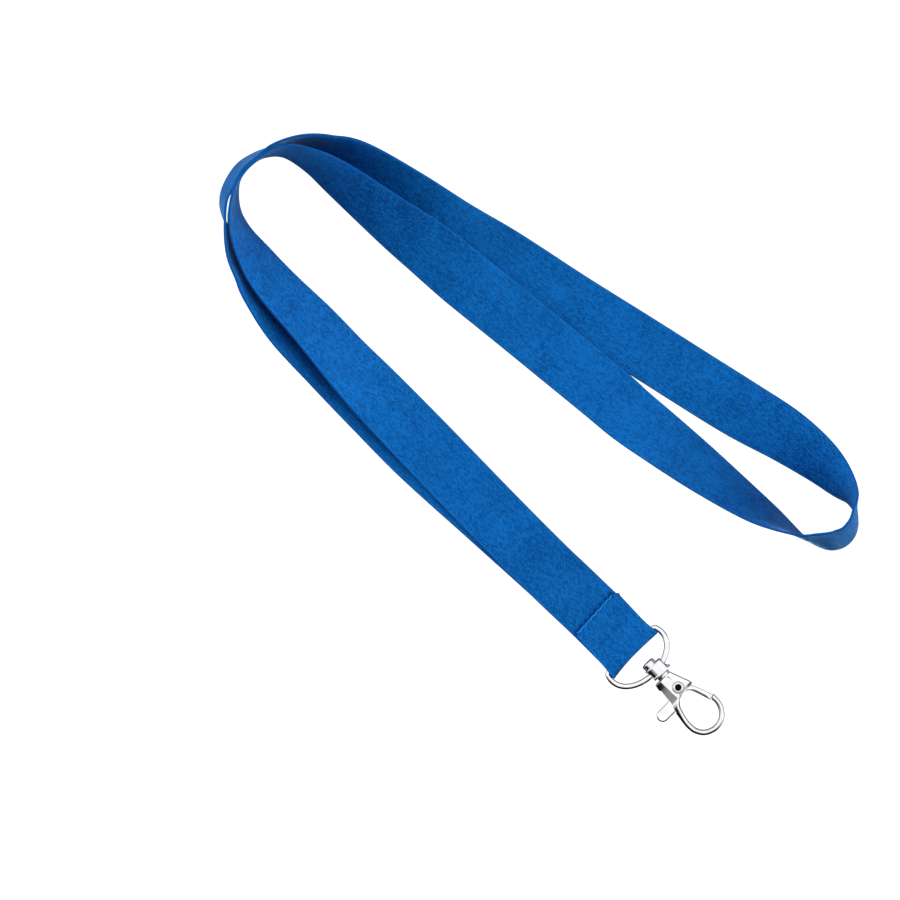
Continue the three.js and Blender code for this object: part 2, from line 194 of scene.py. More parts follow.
def make_world():
    """Cloth gets an even light, a little weaker and bluer from below. What metal mirrors is a white tent
    with a black flag on one side and darkness below, so that bright edges stand out from the pale floor."""
    world = bpy.data.worlds.new("tent")
    bpy.context.scene.world = world
    world.use_nodes = True
    world.node_tree.nodes.clear()
    g = Graph(world.node_tree)
    way = g.node("ShaderNodeTexCoord").outputs["Generated"]
    parts = g.node("ShaderNodeSeparateXYZ", Vector=way).outputs
    # Dark parts are bounded by the height, z, and by how far round towards the flag.
    x, y, z = parts["X"], parts["Y"], parts["Z"]
    level = g.math("SUBTRACT", 1.0, g.math("POWER", z, 2.0))
    level = g.math("SQRT", g.math("MAXIMUM", 0.001, level))
    towards_flag = g.math("ADD", g.math("MULTIPLY", x, -0.80), g.math("MULTIPLY", y, -0.60))
    azimuth = g.math("DIVIDE", towards_flag, level)
    depth = g.math("ADD", g.remap(z, 0.93, 0.76, 0.0, 0.74), g.remap(z, 0.70, 0.52, 0.0, 0.26))
    flag = g.math("MULTIPLY", g.remap(azimuth, 0.10, 0.70), depth)
    far_side = g.math("MULTIPLY", g.remap(azimuth, -0.35, -0.85), g.remap(z, 0.45, 0.15, 0.0, 0.6))
    rim = g.remap(z, -0.15, -0.55, 0.0, 0.88)
    dark = g.math("MAXIMUM", g.math("MAXIMUM", flag, far_side), rim)
    mirrored = g.mix(dark, (1.12, 1.12, 1.13, 1), (0.006, 0.006, 0.007, 1))
    is_mirrored = g.node("ShaderNodeLightPath").outputs["Is Glossy Ray"]
    on_cloth = g.mix(g.remap(z, -0.25, 0.95), (0.27, 0.29, 0.34, 1), (0.36, 0.37, 0.385, 1))
    colour = g.mix(is_mirrored, on_cloth, mirrored)
    background = g.node("ShaderNodeBackground", Color=colour)
    output = g.node("ShaderNodeOutputWorld")
    world.node_tree.links.new(background.outputs[0], output.inputs[0])


def make_floor():
    """A pale floor just below the strap, glowing evenly by itself. The object doesn't mirror it and gets no
    light from it."""
    mesh = bpy.data.meshes.new("floor")
    half = 3.0
    below = -0.15 * MM
    square = [(-half, -half, below), (half, -half, below), (half, half, below), (-half, half, below)]
    mesh.from_pydata(square, [], [(0, 1, 2, 3)])
    floor = bpy.data.objects.new("floor", mesh)
    bpy.context.scene.collection.objects.link(floor)
    paint = bpy.data.materials.new("pale_floor")
    paint.use_nodes = True
    shader = paint.node_tree.nodes["Principled BSDF"]
    set_inputs(shader, {"Base Color": (0.25, 0.25, 0.25, 1), "Emission Color": (1.0, 1.0, 1.0, 1),
                        "Emission Strength": 1.0, "Roughness": 1.0, "Specular IOR Level": 0.0})
    mesh.materials.append(paint)
    floor.visible_glossy = False
    floor.visible_diffuse = False


# ------------------------ materials

def new_material(name):
    material = bpy.data.materials.new(name)
    material.use_nodes = True
    return material, Graph(material.node_tree), material.node_tree.nodes["Principled BSDF"]


def weave_material():
    """Fine satin webbing: warp yarns that show as short floats, each row of them stepping sideways."""
    material, g, shader = new_material("webbing_weave")
    yarn_pitch = 0.43
    float_length = 1.3
    step = 0.37  # from each yarn's floats to its neighbour's, as a share of their length
    uv = g.node("ShaderNodeUVMap")
    uv.uv_map = "weave"
    parts = g.node("ShaderNodeSeparateXYZ", Vector=uv.outputs[0]).outputs
    across = g.math("DIVIDE", parts["X"], yarn_pitch)
    column = g.math("FLOOR", across)
    along = g.math("MULTIPLY_ADD", column, step, g.math("DIVIDE", parts["Y"], float_length))
    row = g.math("FLOOR", along)
    dome_across = g.math("SINE", g.math("MULTIPLY", g.math("FRACT", across), math.pi))
    dome_along = g.math("SINE", g.math("MULTIPLY", g.math("FRACT", along), math.pi))
    dome = g.math("MULTIPLY", g.math("POWER", dome_across, 0.7), g.math("POWER", dome_along, 0.45))
    cell = g.node("ShaderNodeCombineXYZ", X=column, Y=row).outputs[0]
    chance = g.node("ShaderNodeTexWhiteNoise", Vector=cell).outputs["Value"]
    place = g.node("ShaderNodeTexCoord").outputs["Object"]
    cloudy = g.noise(place, 90.0, 3.0)
    mottle = g.noise(place, 1300.0, 2.0, Roughness=0.7)
    fuzz = g.noise(place, 3600.0, 2.0)

    # Round the section, a face and an edge follow each other twice.
    face_and_edge = 20.57
    half_face = 9.66
    on_side = g.math("MODULO", parts["X"], face_and_edge)
    from_middle = g.math("ABSOLUTE", g.math("SUBTRACT", on_side, half_face))
    selvedge = g.remap(from_middle, 9.2, 9.5)
    loop_pitch = 0.95
    loops = g.math("SINE", g.math("MULTIPLY", parts["Y"], 2 * math.pi / loop_pitch))
    stitch_shade = g.node("ShaderNodeAttribute")
    stitch_shade.attribute_name = "stitch_shade"

    # Painted shade: the float's dome darkens the colour towards the crevices between floats; the per-float
    # chance and the noises are the yarns' own uneven tone.
    tone_and_crevice_shade = g.math("MULTIPLY_ADD", dome, 0.26, g.math("MULTIPLY", chance, 0.24))
    for pattern, strength in ((cloudy, 0.34), (mottle, 0.75), (fuzz, 0.20)):
        tone_and_crevice_shade = g.math("ADD", tone_and_crevice_shade, g.math("MULTIPLY", pattern, strength))
    colour = g.mix(g.remap(tone_and_crevice_shade, 0.69, 1.13), (0.0004, 0.034, 0.140, 1), (0.0040, 0.114, 0.385, 1))
    # A lighter band along each selvedge: partly the selvedge's own loops, partly a painted highlight where
    # light catches the edge.
    selvedge_and_highlight = g.math("MULTIPLY", selvedge, g.math("MULTIPLY_ADD", loops, 0.16, 0.22))
    colour = g.mix(selvedge_and_highlight, colour, (0.012, 0.19, 0.56, 1))
    side = g.remap(from_middle, 9.62, 9.82, 0.0, 0.75)
    colour = g.mix(side, colour, (0.0004, 0.036, 0.165, 1))
    # Painted shade from the mesh: the shadow beyond the flap's cut edge and the shade at each needle hole
    # darken the colour.
    colour = g.mix(stitch_shade.outputs["Fac"], colour, (0.0002, 0.020, 0.125, 1))
    g.put(shader.inputs["Base Color"], colour)
    g.put(shader.inputs["Roughness"], g.remap(fuzz, 0.2, 0.8, 0.46, 0.58))
    set_inputs(shader, {"IOR": 1.8, "Specular IOR Level": 1.0, "Specular Tint": (0.02, 0.30, 1.0, 1),
                        "Sheen Weight": 0.45, "Sheen Roughness": 0.22, "Sheen Tint": (0.35, 0.66, 1.0, 1)})
    height = g.math("ADD", dome, g.math("MULTIPLY_ADD", chance, 0.25, g.math("MULTIPLY", mottle, 0.5)))
    height = g.math("ADD", height, g.math("MULTIPLY", selvedge, g.math("MULTIPLY", loops, 0.5)))
    bump = g.node("ShaderNodeBump", Strength=0.55, Distance=0.00009, Height=height)
    g.put(shader.inputs["Normal"], bump.outputs[0])
    return material


def thread_material():
    """Polyester thread, a little lighter than the webbing."""
    material, g, shader = new_material("sewing_thread")
    place = g.node("ShaderNodeTexCoord").outputs["Object"]
    fibre = g.noise(place, 5200.0, 3.0)
    colour = g.mix(g.remap(fibre, 0.3, 0.7), (0.003, 0.130, 0.40, 1), (0.010, 0.200, 0.53, 1))
    g.put(shader.inputs["Base Color"], colour)
    g.put(shader.inputs["Roughness"], g.remap(fibre, 0.3, 0.7, 0.45, 0.65))
    set_inputs(shader, {"Specular IOR Level": 0.15})
    bump = g.node("ShaderNodeBump", Strength=0.5, Distance=0.00004, Height=fibre)
    g.put(shader.inputs["Normal"], bump.outputs[0])
    return material


def nickel_material(name, colour, roughness, shade_band=None):
    """Bright nickel plate: a little cloudy, slightly uneven from the casting, with fine handling marks.
    Where a band is given, painted shade darkens the plate between these two distances from the rivet's axis,
    in millimetres."""
    material, g, shader = new_material(name)
    place = g.node("ShaderNodeTexCoord").outputs["Object"]
    cloudy = g.noise(place, 320.0, 4.0)
    wavy = g.noise(place, 420.0, 1.0)
    stretch = g.node("ShaderNodeMapping", Vector=place)
    set_inputs(stretch, {"Scale": (1.0, 0.12, 1.0), "Rotation": (0.0, 0.0, 0.6)})
    marks = g.noise(stretch.outputs[0], 5200.0, 2.0)
    dull = tuple(0.90 * c for c in colour)
    plate = g.mix(g.remap(cloudy, 0.35, 0.7), (*dull, 1), (*colour, 1))
    worn = g.remap(cloudy, 0.3, 0.75, roughness, roughness * 1.9)
    worn = g.math("ADD", worn, g.remap(marks, 0.62, 0.75, 0.0, 0.08))
    # Painted shade: a dark ring about the rivet's axis, put into the colour, stands in for the shade in the
    # recess there.
    if shade_band:
        in_hook = g.node("ShaderNodeMapping", Vector=place)
        in_hook.vector_type = "TEXTURE"
        set_inputs(in_hook, {"Location": [c * MM for c in EYE_PLACE], "Rotation": (DROOP, 0.0, 0.0)})
        parts = g.node("ShaderNodeSeparateXYZ", Vector=in_hook.outputs[0]).outputs
        aside = g.math("SUBTRACT", parts["X"], PIVOT[0] * MM)
        below = g.math("ADD", parts["Y"], PIVOT[1] * MM)
        squares = g.math("ADD", g.math("POWER", aside, 2.0), g.math("POWER", below, 2.0))
        distance = g.math("SQRT", squares)
        near, far = (c * MM for c in shade_band)
        soft = 0.06 * MM
        painted_shade = g.math("MULTIPLY", g.remap(distance, near - soft, near + soft),
                       g.remap(distance, far + soft, far - soft))
        plate = g.mix(painted_shade, plate, (0.012, 0.012, 0.013, 1))
        worn = g.math("ADD", worn, g.math("MULTIPLY", painted_shade, 0.4))
    g.put(shader.inputs["Base Color"], plate)
    set_inputs(shader, {"Metallic": 1.0})
    g.put(shader.inputs["Roughness"], worn)
    height = g.math("ADD", wavy, g.math("MULTIPLY", marks, 0.05))
    bump = g.node("ShaderNodeBump", Strength=0.35, Distance=0.00006, Height=height)
    g.put(shader.inputs["Normal"], bump.outputs[0])
    return material


# ------------------------ mesh helpers

def cubic(p1, p2, v1, v2, f):
    """The curve from p1 to p2 that starts with velocity v1 and ends with v2, at the fraction f."""
    return (2 * p1 - 2 * p2 + v1 + v2) * f ** 3 + (3 * p2 - 3 * p1 - 2 * v1 - v2) * f ** 2 + v1 * f + p1


def spline(points, t):
    """A uniform Catmull-Rom curve through the points, as the part's source uses, at parameters t."""
    points = np.asarray(points, float)
    last = len(points) - 1
    i = np.minimum(np.floor(t).astype(int), last - 1)
    f = (t - i)[:, None]
    p0, p1, p2, p3 = (points[np.clip(i + k, 0, last)] for k in (-1, 0, 1, 2))
    return cubic(p1, p2, (p2 - p0) / 2, (p3 - p1) / 2, f)


def unit(vectors):
    return vectors / np.linalg.norm(vectors, axis=-1, keepdims=True)


def smooth(x):
    x = np.clip(x, 0, 1)
    return x * x * (3 - 2 * x)


def full_turn(count):
    return np.linspace(0, 2 * math.pi, count, endpoint=False)


def run_along(points):
    """The distance from the first point to each, along all that lie between."""
    return np.concatenate([[0], np.cumsum(np.linalg.norm(np.diff(points, axis=0), axis=1))])


def tube_rings(path, side, up, radii, angle):
    return (path[:, None] + side[:, None] * (radii * np.cos(angle))[..., None]
            + up[:, None] * (radii * np.sin(angle))[..., None])


def link(name, mesh, material, sharp_degrees=35):
    mesh.materials.clear()
    mesh.materials.append(material)
    mesh.shade_smooth()
    mesh.set_sharp_from_angle(angle=math.radians(sharp_degrees))
    piece = bpy.data.objects.new(name, mesh)
    bpy.context.scene.collection.objects.link(piece)
    return piece


def loft_mesh(name, rings, place=None, closed=False, capped=True):
    """A mesh through rings of points in millimetres; rings is an array of ring, point, coordinate."""
    rings = np.asarray(rings, float)
    count, sides = rings.shape[:2]
    points = rings.reshape(-1, 3)
    if place is not None:
        turn = np.array(place)
        points = points @ turn[:3, :3].T + turn[:3, 3]
    spans = count if closed else count - 1
    i, j = np.meshgrid(np.arange(spans), np.arange(sides), indexing="ij")
    here = i * sides
    there = (i + 1) % count * sides
    k = (j + 1) % sides
    quads = np.stack([here + j, there + j, there + k, here + k], -1).reshape(-1, 4)
    faces = quads.tolist()
    if capped and not closed:
        faces.append(list(range(sides)))
        faces.append(list(range((count - 1) * sides, count * sides))[::-1])
    mesh = bpy.data.meshes.new(name)
    mesh.from_pydata((points * MM).tolist(), [], faces)
    face_out(mesh)
    return mesh


def face_out(mesh):
    """Turns every face outwards and merges points that lie together."""
    shape = bmesh.new()
    shape.from_mesh(mesh)
    bmesh.ops.remove_doubles(shape, verts=shape.verts, dist=1e-7)
    bmesh.ops.recalc_face_normals(shape, faces=shape.faces)
    if shape.calc_volume(signed=True) < 0:
        bmesh.ops.reverse_faces(shape, faces=shape.faces)
    shape.to_mesh(mesh)
    shape.free()


def turned_mesh(name, profile, sides=72, offset=0.0, squash=1.0):
    """A round solid about the hook's own axis, from pairs of radius and distance down."""
    angle = full_turn(sides)
    rings = [np.stack([offset + r * np.cos(angle), np.full(sides, -down), squash * r * np.sin(angle)], -1)
             for r, down in profile]
    return loft_mesh(name, rings, HOOK_FRAME)


def pivot_mesh(name, profile, sides=72):
    """A round solid about the gate's pivot, from pairs of radius and z."""
    angle = full_turn(sides)
    rings = [np.stack([PIVOT[0] + r * np.cos(angle), r * np.sin(angle) - PIVOT[1], np.full(sides, z)], -1)
             for r, z in profile]
    return loft_mesh(name, rings, HOOK_FRAME)


def box_mesh(name, x, down, z):
    """A box between pairs of x, distance down the hook, and z."""
    rings = [[(x[0], -d, z[0]), (x[1], -d, z[0]), (x[1], -d, z[1]), (x[0], -d, z[1])] for d in down]
    return loft_mesh(name, rings, HOOK_FRAME)


def rounded_corner(before, corner, after, radius, share, steps):
    """Points that round the corner off, up to the radius or a share of its shorter side away from it."""
    to_before = before - corner
    to_after = after - corner
    reach = min(radius, share * np.linalg.norm(to_before), share * np.linalg.norm(to_after))
    a = corner + unit(to_before) * reach
    b = corner + unit(to_after) * reach
    return [(1 - f) ** 2 * a + 2 * f * (1 - f) * corner + f * f * b for f in np.linspace(0, 1, steps)]


def rounded_profile(profile, radius, steps=5):
    """The profile of a turned solid with its corners rounded; the first and last points stay."""
    points = [np.array(p, float) for p in profile]
    out = [points[0]]
    for before, corner, after in zip(points, points[1:], points[2:]):
        out += rounded_corner(before, corner, after, radius, 0.45, steps)
    out.append(points[-1])
    return out


def boolean(mesh, operation, others):
    """The mesh joined with, or cut by, the others."""
    body = bpy.data.objects.new("boolean_body", mesh)
    bpy.context.scene.collection.objects.link(body)
    tools = []
    for other in others:
        tool = bpy.data.objects.new("boolean_tool", other)
        bpy.context.scene.collection.objects.link(tool)
        modifier = body.modifiers.new("cut", "BOOLEAN")
        modifier.operation = operation
        modifier.solver = "EXACT"
        modifier.object = tool
        tools.append(tool)
    evaluated = body.evaluated_get(bpy.context.evaluated_depsgraph_get())
    result = bpy.data.meshes.new_from_object(evaluated)
    result.name = mesh.name
    for helper in (body, *tools):
        bpy.data.objects.remove(helper)
    return result


def weight_normals(piece):
    """Lets the broad flat faces keep their own shade beside rounded edges."""
    modifier = piece.modifiers.new("even_shade", "WEIGHTED_NORMAL")
    modifier.mode = "FACE_AREA"
    modifier.weight = 90
    modifier.keep_sharp = True


# ------------------------ webbing

def loop_stations():
    """Middle, direction, width direction and distance along, at even steps round the whole neck loop. The
    outer strand of the far turn is drawn in against the inner one."""
    t = np.linspace(0, len(ROUTE) - 1, 40 * (len(ROUTE) - 1) + 1)
    x, y = spline([p[:2] for p in ROUTE], t).T
    roll, lift = spline([p[2:] for p in ROUTE], t).T
    roll = np.radians(roll)
    rise = STRAP_WIDTH / 2 * np.abs(np.sin(roll)) + STRAP_THICK / 2 * np.abs(np.cos(roll))
    z = rise + np.maximum(lift, 0) * LAYER
    drawn_in = FAR_TURN_DRAWN_IN * smooth((t - FAR_TURN[0]) / 2.5) * smooth((FAR_TURN[1] - t) / 4)
    ahead = unit(np.stack([np.gradient(x), np.gradient(y)], -1))
    x = x - ahead[:, 1] * drawn_in
    y = y + ahead[:, 0] * drawn_in
    run = run_along(np.stack([x, y, z], -1))
    even = np.arange(0, run[-1], FINE_STEP)
    middle = np.stack([np.interp(even, run, c) for c in (x, y, z)], -1)
    roll = np.interp(even, run, roll)

    # Cloth has no kinks, so the height is evened out over a few millimetres.
    reach = 24
    kernel = np.exp(-np.linspace(-2.2, 2.2, 2 * reach + 1) ** 2)
    kernel /= kernel.sum()
    padded = np.pad(middle[:, 2], reach, mode="edge")
    above_floor = 0.02
    middle[:, 2] = np.convolve(padded, kernel, mode="valid") + above_floor
    middle[:, 2] += front_leg_arch(middle, even)

    along = unit(np.gradient(middle, axis=0))
    left = unit(np.stack([-along[:, 1], along[:, 0], np.zeros(len(even))], -1))
    up = np.array([0, 0, 1.0])
    across = left * np.cos(roll)[:, None] + up * np.sin(roll)[:, None]
    across = unit(across - along * (across * along).sum(-1, keepdims=True))
    return middle, along, across, even


def front_leg_arch(middle, run):
    """The front leg lies in a low arch over the rear one, just above the sewn end."""
    leg_length, height, y, half_length = 90, 1.3, -35, 9.5
    on_front_leg = smooth((leg_length - run) / 20)
    return on_front_leg * height * np.exp(-((middle[:, 1] - y) / half_length) ** 2)


def fold_stations(run_so_far):
    """The rear end: round the ring's bar and back as a flap over the front end."""
    angle = np.linspace(0, math.pi, 19)
    arc = np.stack([BAR_Y - FOLD_RADIUS * np.sin(angle), BAR_Z - FOLD_RADIUS * np.cos(angle)], -1)
    flap_z = STRAP_THICK / 2 + 2 * LAYER
    y = np.linspace(BAR_Y, FLAP_EDGE_Y, 52)[1:]
    settle = smooth((y - BAR_Y) / 8)
    z = (BAR_Z + FOLD_RADIUS) * (1 - settle) + flap_z * settle
    approach_y = np.arange(LOOP_END_Y, BAR_Y, -FINE_STEP)
    approach = np.stack([approach_y, np.full(len(approach_y), STRAP_THICK / 2)], -1)
    path = np.concatenate([approach, arc, np.stack([y, z], -1)])
    count = len(path)
    middle = np.stack([np.full(count, CLIP_X), path[:, 0], path[:, 1]], -1)
    along = unit(np.gradient(middle, axis=0))
    across = np.tile([1.0, 0, 0], (count, 1))
    run = run_so_far + FINE_STEP + run_along(middle)
    on_flap = np.arange(count) >= len(approach) + len(arc) // 2
    return middle, along, across, run, on_flap


def strap_profile():
    """Points round the webbing's section, as width, height and distance round it."""
    half = STRAP_WIDTH / 2
    thick = STRAP_THICK / 2
    edge = 0.34  # width of each rounded edge
    inner = half - edge
    top = np.linspace(-inner, inner, ACROSS_STEPS)
    turn = np.linspace(math.pi / 2, -math.pi / 2, EDGE_POINTS + 2)[1:-1]
    edge_u = inner + edge * np.cos(turn)
    edge_w = thick * np.sin(turn)
    u = np.concatenate([top, edge_u, top[::-1], -edge_u])
    w = np.concatenate([np.full(ACROSS_STEPS, thick), edge_w, np.full(ACROSS_STEPS, -thick), -edge_w])
    # A faint groove runs beside each selvedge.
    beside = np.exp(-((np.abs(u) - half + 1.1) / 0.3) ** 2)
    w = w * (1 - 0.10 * beside)
    closed = np.stack([np.append(u, u[0]), np.append(w, w[0])], -1)
    return u, w, run_along(closed)


def needle_holes():
    """The x of each needle hole."""
    first = CLIP_X - STITCH_COUNT * STITCH_LENGTH / 2
    return first + STITCH_LENGTH * np.arange(STITCH_COUNT + 1)


def stitch_row(x):
    return STITCH_Y + SKEW * (x - CLIP_X)


def around_holes(x, from_row, beyond, half_width, half_length):
    """Soft spots, one for each needle hole, which lie so far beyond the row."""
    return sum(np.exp(-((x - hole) / half_width) ** 2 - ((from_row - beyond) / half_length) ** 2)
               for hole in needle_holes())


def press_stitches_and_shade(points, on_flap, on_front):
    """The thread pulls the layers together along the row, and most of all at each needle hole. Returns how
    deep the painted shade lies at each point: a painted shadow just beyond the flap's cut edge, and painted
    shade round each needle hole."""
    x, y = points[..., 0], points[..., 1]
    from_row = y - stitch_row(x)
    near = np.exp(-(from_row / 0.95) ** 2)
    holes = around_holes(x, from_row, beyond=0.35, half_width=0.42, half_length=0.6)
    inside = smooth((STRAP_WIDTH / 2 + 0.6 - np.abs(x - CLIP_X)) / 1.2)
    row_depth, hole_depth = 0.26, 0.34
    pull = inside * (row_depth * near + hole_depth * holes)
    points[..., 2] -= np.where(on_flap[:, None], pull, 0) + np.where(on_front[:, None], 0.5 * pull, 0)
    # Painted shade, put into the colour: a painted shadow line just beyond the flap's cut edge on the front
    # layer, and painted shade round each needle hole.
    beyond_cut = np.exp(-np.clip(from_row - 0.5, 0, None) / 0.45) * (from_row > -2)
    shade_flap = 0.75 * holes
    shaded_hole_spots = around_holes(x, from_row, beyond=1.0, half_width=0.55, half_length=0.75)
    shade_front = np.maximum(0.45 * beyond_cut, np.minimum(1.2 * shaded_hole_spots, 1))
    return inside * (np.where(on_flap[:, None], shade_flap, 0) + np.where(on_front[:, None], shade_front, 0))


def shape_flap(points, on_flap, on_fold):
    """The flap lies slightly crooked, its free corners are soft, and the fold is pulled wider at its ends."""
    x, y = points[..., 0] - CLIP_X, points[..., 1]
    towards_cut = smooth((y - BAR_Y) / (FLAP_EDGE_Y - BAR_Y))
    flap = on_flap[:, None] * towards_cut
    side = x / (STRAP_WIDTH / 2)
    at_cut = smooth((y - FLAP_EDGE_Y + 3) / 3) * on_flap[:, None]
    points[..., 1] += SKEW * x * flap
    points[..., 0] += 0.42 * flap + 0.25 * at_cut * smooth(side)
    corner = smooth((np.abs(side) - 0.80) / 0.20)
    points[..., 1] -= at_cut * 1.3 * corner ** 2
    points[..., 1] += at_cut * 0.07 * np.sin(3.1 * x) * np.sin(1.3 * x + 1)  # the cut isn't quite straight
    points[..., 2] += at_cut * 0.45 * smooth((side - 0.72) / 0.28)  # and its right corner stands up
    at_fold = np.exp(-((y - BAR_Y + FOLD_RADIUS) / 3.2) ** 2) * smooth((-78 - y) / 3) * on_fold[:, None]
    points[..., 1] -= at_fold * (0.95 * np.clip(-side, 0, 1) ** 2 + 0.35 * np.clip(side, 0, 1) ** 2)
    points[..., 0] += at_fold * 0.055 * x


def settle_cloth(points, normal, run, u):
    """The slight unevenness of webbing that has been handled, fading out at the sewn end."""
    start, stop, fade = 25, 900, 30
    free = smooth((run - start) / fade) * smooth((stop - run) / fade)
    s = run[:, None]
    wave = 0.10 * np.sin(s / 9.7 + 0.6 * np.sin(s / 23)) + 0.07 * np.sin(s / 5.3 + u / 7 + 1.3)
    twist = 0.10 * np.sin(s / 13.1 + 2.0) * u / 10
    points += normal[:, None, :] * (free[:, None] * (wave + twist))[..., None]


def cup_near_turn(points, middle, normal, u):
    """Webbing that is bent while it stands on its edge bulges outwards, by 1 mm, between its edges."""
    inside = np.array([34.0, -90.0])
    on_edge = [(43.5, -103.6), (26.2, -97.5)]
    half_length = 7
    from_inside = middle[:, :2] - inside
    outward = np.sign((from_inside * normal[:, :2]).sum(-1))
    near = sum(np.exp(-(np.linalg.norm(middle[:, :2] - place, axis=-1) / half_length) ** 2)
               for place in on_edge)
    bulge = 1.0 - (u / (STRAP_WIDTH / 2)) ** 2
    points += normal[:, None, :] * (outward * near)[:, None, None] * bulge[..., None]


def make_webbing():
    """The whole strap in one surface, and its length along the middle line in metres."""
    middle, along, across, run = loop_stations()
    keep = (run < SEWN_END[0]) | (run > run[-1] - SEWN_END[1]) | (np.arange(len(run)) % 3 == 0)
    loop = [a[keep] for a in (middle, along, across, run)]
    *fold, on_flap = fold_stations(loop[3][-1])
    loop_count, fold_count = len(loop[3]), len(on_flap)
    middle, along, across, run = (np.concatenate([a, b]) for a, b in zip(loop, fold))
    on_fold = np.arange(loop_count + fold_count) >= loop_count
    on_flap = np.concatenate([np.zeros(loop_count, bool), on_flap])
    front_end = 40
    on_front = run < front_end

    u, w, around = strap_profile()
    normal = unit(np.cross(along, across))
    points = middle[:, None] + across[:, None] * u[None, :, None] + normal[:, None] * w[None, :, None]
    settle_cloth(points, normal, run, u[None, :])
    cup_near_turn(points, middle, normal, u[None, :])
    shape_flap(points, on_flap, on_fold)
    shade = press_stitches_and_shade(points, on_flap, on_front)
    points[..., 2] = np.maximum(points[..., 2], 0.0)

    mesh = bpy.data.meshes.new("webbing")
    count, sides = points.shape[:2]
    i, j = np.meshgrid(np.arange(count - 1), np.arange(sides), indexing="ij")
    k = (j + 1) % sides
    quads = np.stack([i * sides + j, i * sides + k, (i + 1) * sides + k, (i + 1) * sides + j], -1)
    faces = quads.reshape(-1, 4).tolist()
    caps = end_cap_faces(0, sides) + [face[::-1] for face in end_cap_faces((count - 1) * sides, sides)]
    mesh.from_pydata((points.reshape(-1, 3) * MM).tolist(), [], faces + caps)

    # The painted shade of the stitch row and needle holes, kept on the mesh for the webbing's colour.
    mesh.attributes.new("stitch_shade", "FLOAT", "POINT").data.foreach_set("value", np.clip(shade, 0, 1).ravel())
    uv = mesh.uv_layers.new(name="weave")
    low = np.stack([around[j], run[i]], -1)
    right = np.stack([around[j + 1], run[i]], -1)
    far = np.stack([around[j + 1], run[i + 1]], -1)
    top = np.stack([around[j], run[i + 1]], -1)
    corners = np.stack([low, right, far, top], 2).reshape(-1, 2)
    ends = [(around[v % sides], run[v // sides] + 0.3) for face in caps for v in face]
    uv.data.foreach_set("uv", np.concatenate([corners, np.array(ends)]).ravel())

    shape = bmesh.new()
    shape.from_mesh(mesh)
    bmesh.ops.recalc_face_normals(shape, faces=shape.faces)
    shape.to_mesh(mesh)
    shape.free()
    return link("webbing", mesh, weave_material(), sharp_degrees=75), run[-1] * MM


def end_cap_faces(first, sides):
    """Faces that close one end of the webbing: strips from its top to its bottom face, and both edges."""
    last = sides - EDGE_POINTS - 1
    faces = [[j, j + 1, last - j - 1, last - j] for j in range(ACROSS_STEPS - 1)]
    faces.append(list(range(ACROSS_STEPS - 1, ACROSS_STEPS + EDGE_POINTS + 1)))
    faces.append(list(range(last, sides)) + [0])
    return [[first + v for v in face] for face in faces]


# ------------------------ threads

def thread_rings(path, radius):
    """A two-ply thread: its section has two lobes that turn as it goes."""
    lay = 1.1  # length of one turn
    along = unit(np.gradient(path, axis=0))
    side = np.tile([0.0, 1.0, 0.0], (len(path), 1))
    up = unit(np.cross(along, side))
    run = run_along(path)
    angle = full_turn(14)
    lobes = radius * (0.80 + 0.24 * np.abs(np.cos(angle[None] - 2 * math.pi * run[:, None] / lay)))
    return tube_rings(path, side, up, lobes, angle)


def stitches(name, surface, dip, sign, radius):
    """One row of stitches. Between needle holes the thread lies at the surface's height, and at each hole
    it dives by the dip, downwards for sign 1 and upwards for -1."""
    holes = needle_holes()
    x = np.linspace(holes[0] - 0.02, holes[-1] + 0.02, 40 * STITCH_COUNT + 1)
    phase = (x - holes[0]) / STITCH_LENGTH
    arch = np.abs(np.sin(math.pi * phase)) ** 0.8
    slant = 0.16 * np.cos(2 * math.pi * phase)
    y = stitch_row(x) + slant
    z = surface - sign * dip * (1 - arch)
    return loft_mesh(name, thread_rings(np.stack([x, y, z], -1), radius))


# ------------------------ hardware

def make_ring(nickel):
    """The D-ring: bent round wire with its straight bar in the fold."""
    corner = [(10.95, -0.4), (11.4, -1.6)]
    points = [(x, 0.0) for x in (-9.6, -4.8, 0.0, 4.8, 9.6)] + corner
    for degrees in range(90, -91, -15):
        a = math.radians(degrees)
        points.append((RING_HALF_WIDTH * math.sin(a), -RING_SHOULDER - RING_DEPTH * math.cos(a)))
    points += [(-x, y) for x, y in reversed(corner)]
    wrapped = points[-2:] + points + points[:3]
    t = np.linspace(2, 2 + len(points), 361)[:-1]
    path = centripetal(wrapped, t)
    before, after = np.roll(path, 1, axis=0), np.roll(path, -1, axis=0)
    out = unit(np.stack([before[:, 1] - after[:, 1], after[:, 0] - before[:, 0]], -1))
    angle = full_turn(32)
    flat = path[:, None] + WIRE_RADIUS * out[:, None] * np.cos(angle)[None, :, None]
    z = np.broadcast_to(WIRE_RADIUS * np.sin(angle), flat.shape[:2])
    rings = np.concatenate([flat, z[..., None]], -1)
    return link("ring_wire", loft_mesh("ring_wire", rings, RING_FRAME, closed=True), nickel)


def centripetal(points, t):
    """A centripetal Catmull-Rom curve at parameters t, which are whole numbers at the points."""
    points = np.asarray(points, float)
    out = []
    for value in t:
        i = int(min(value, len(points) - 3))
        p0, p1, p2, p3 = (points[i + k] for k in (-1, 0, 1, 2))
        d0, d1, d2 = (np.linalg.norm(b - a) ** 0.5 for a, b in ((p0, p1), (p1, p2), (p2, p3)))
        v1 = ((p1 - p0) / d0 - (p2 - p0) / (d0 + d1) + (p2 - p1) / d1) * d1
        v2 = ((p2 - p1) / d1 - (p3 - p1) / (d1 + d2) + (p3 - p2) / d2) * d1
        out.append(cubic(p1, p2, v1, v2, value - i))
    return np.array(out)


